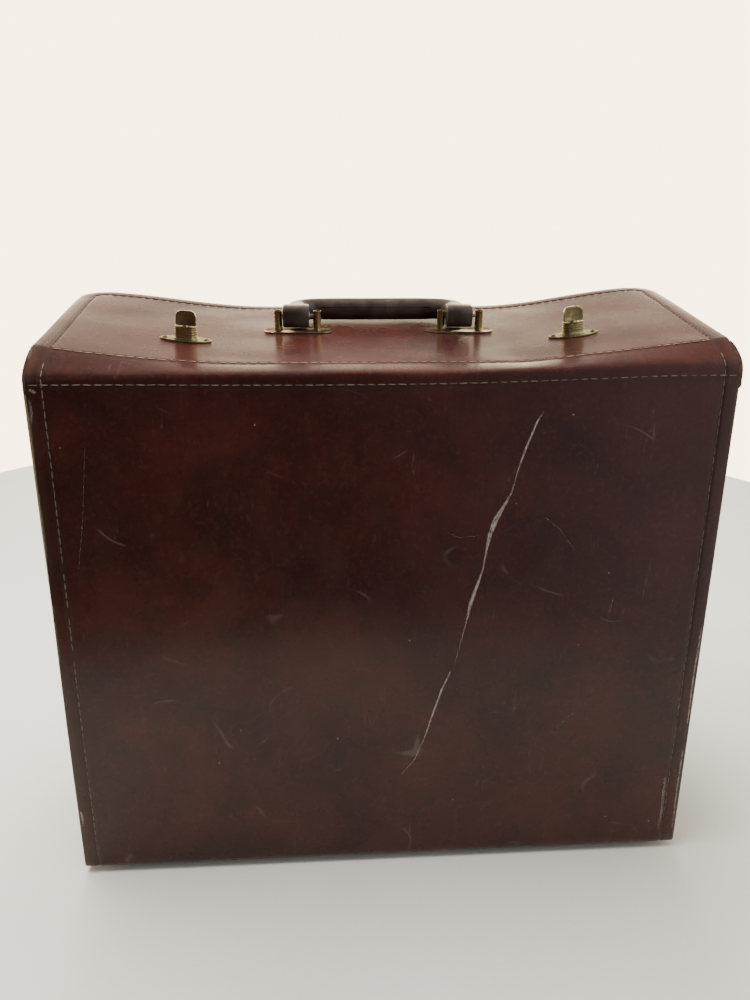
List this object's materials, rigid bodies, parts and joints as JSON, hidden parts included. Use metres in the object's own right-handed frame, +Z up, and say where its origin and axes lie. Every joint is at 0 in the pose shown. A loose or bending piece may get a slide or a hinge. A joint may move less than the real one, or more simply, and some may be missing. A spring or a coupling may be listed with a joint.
{
  "type": "sample case",
  "caption": "Top-opening sample case in leatherette: board walls, recessed ends, two overlapping flaps, turn catches and a fold-down carrying handle.",
  "frame": {"origin": "on the floor under the middle of the case", "axes": "+X across its width, +Y from the wall that carries the outer flap to the wall that carries the inner flap, +Z up"},
  "size_m": [0.48, 0.2, 0.442],
  "materials": {
    "leatherette": "glossy mottled oxblood leatherette",
    "lining": "plain woven lining cloth",
    "board": "raw fibreboard",
    "brass": "aged brass plate",
    "steel": "dull plated steel",
    "plastic": "glossy dark brown moulded plastic"
  },
  "bodies": {
    "case_body": {"wrap_skin": "leatherette", "body_lining": "lining", "near_board": "board", "far_board": "board", "bottom_board": "board", "left_end_skin": "leatherette", "left_end_board": "board", "left_end_lining": "lining", "right_end_skin": "leatherette", "right_end_board": "board", "right_end_lining": "lining", "foot_1": "brass", "foot_2": "brass", "foot_3": "brass", "foot_4": "brass", "near_hinge_strip": "leatherette", "far_hinge_strip": "leatherette"},
    "outer_flap": {"outer_flap_cover": "leatherette", "outer_flap_board": "board", "outer_flap_lining": "lining", "left_lock_base": "brass", "left_lock_backing": "steel", "left_lock_rivet_1": "brass", "left_lock_rivet_2": "brass", "left_spring_washer": "steel", "left_bracket_plate": "brass", "left_bracket_backing": "steel", "left_bracket_post_1": "brass", "left_bracket_post_2": "brass", "left_bracket_pin": "steel", "right_lock_base": "brass", "right_lock_backing": "steel", "right_lock_rivet_1": "brass", "right_lock_rivet_2": "brass", "right_spring_washer": "steel", "right_bracket_plate": "brass", "right_bracket_backing": "steel", "right_bracket_post_1": "brass", "right_bracket_post_2": "brass", "right_bracket_pin": "steel"},
    "inner_flap": {"inner_flap_cover": "leatherette", "inner_flap_board": "board", "inner_flap_lining": "lining", "left_keeper_plate": "steel", "left_keeper_rivet_1": "brass", "left_keeper_rivet_2": "brass", "right_keeper_plate": "steel", "right_keeper_rivet_1": "brass", "right_keeper_rivet_2": "brass"},
    "handle": {"handle_grip": "plastic", "left_pin_bush": "steel", "right_pin_bush": "steel", "grip_strip": "steel"},
    "left_turn_button": {"left_turn_button": "brass", "left_catch_bar": "steel"},
    "right_turn_button": {"right_turn_button": "brass", "right_catch_bar": "steel"}
  },
  "joints": [
    {"name": "outer_flap_hinge", "type": "hinge", "parent": "case_body", "child": "outer_flap", "pos_m": [0, -0.098, 0.402], "axis": [1, 0, 0], "range_deg": [0, 220], "deforming": ["near_hinge_strip"]},
    {"name": "inner_flap_hinge", "type": "hinge", "parent": "case_body", "child": "inner_flap", "pos_m": [0, 0.097, 0.412], "axis": [-1, 0, 0], "range_deg": [0, 44], "deforming": ["far_hinge_strip"]},
    {"name": "handle_hinge", "type": "hinge", "parent": "outer_flap", "child": "handle", "pos_m": [0, 0.00839, 0.42672], "axis": [1, 0, 0], "range_deg": [0, 185]},
    {"name": "left_turn_button_spin", "type": "hinge", "parent": "outer_flap", "child": "left_turn_button", "pos_m": [-0.145, -0.024, 0.41253], "axis": [0.0839, -0.1282, 0.9882], "range_deg": [0, 90]},
    {"name": "right_turn_button_spin", "type": "hinge", "parent": "outer_flap", "child": "right_turn_button", "pos_m": [0.145, -0.024, 0.41494], "axis": [-0.1181, -0.1277, 0.9848], "range_deg": [0, 90]}
  ],
  "couplings": [
    {"joint": "inner_flap_hinge", "follows": "outer_flap_hinge", "ratio": 0.2}
  ]
}
